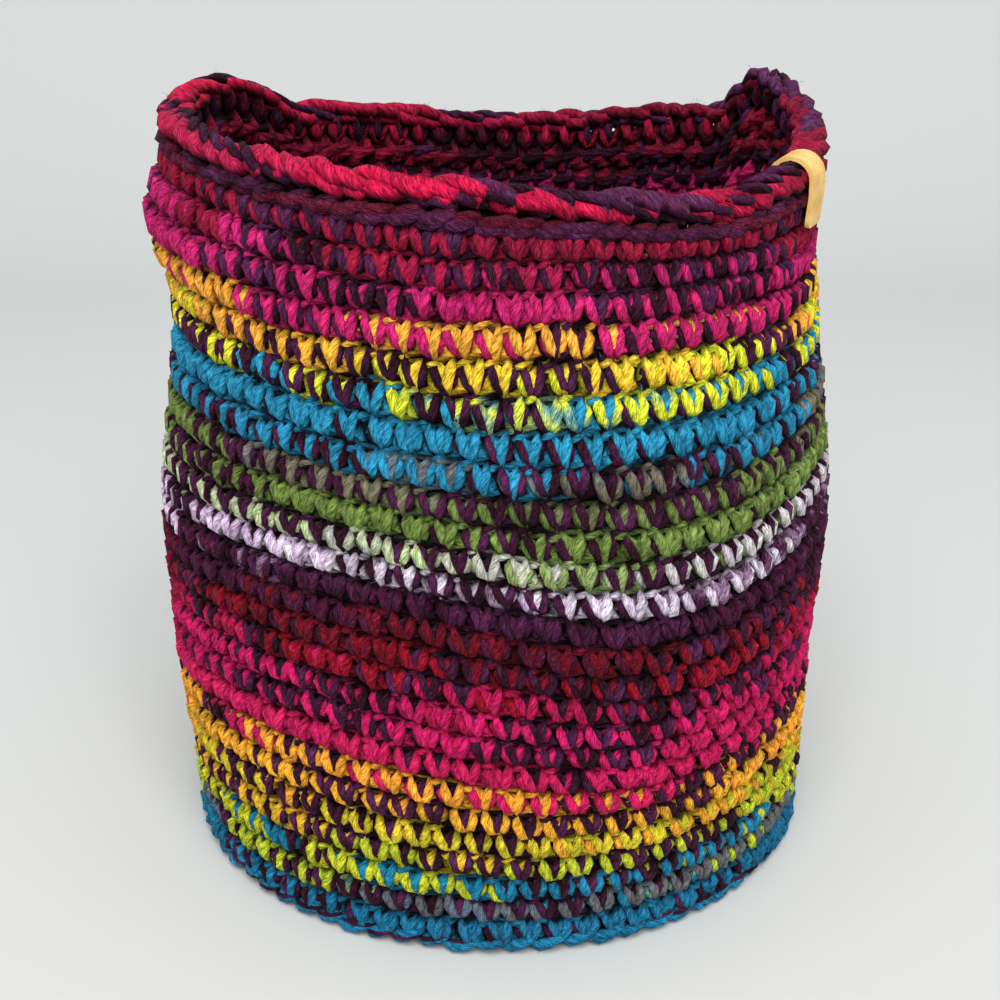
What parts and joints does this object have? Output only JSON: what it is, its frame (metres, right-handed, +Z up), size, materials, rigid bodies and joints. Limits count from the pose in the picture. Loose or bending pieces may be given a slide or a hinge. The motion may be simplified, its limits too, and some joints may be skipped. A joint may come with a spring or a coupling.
{
  "type": "crochet tote bag",
  "caption": "Open, tub-shaped crochet tote bag in thick striped yarn, with a round base, a soft chained rim raised in ears at the sides and a small leather tag folded over the rim.",
  "frame": {"origin": "middle of the base, on the surface the bag stands on", "axes": "+Z up, -Y towards the side the picture shows as the front, +X to the right of that picture"},
  "size_m": [0.2404, 0.228, 0.2686],
  "materials": {
    "yarn": "fuzzy acrylic yarn, three strands held together, crocheted",
    "leather": "honey tan leather strip, smooth face, cut edges"
  },
  "bodies": {
    "root": {"crochet_body": "yarn", "leather_tag": "leather"}
  },
  "joints": []
}
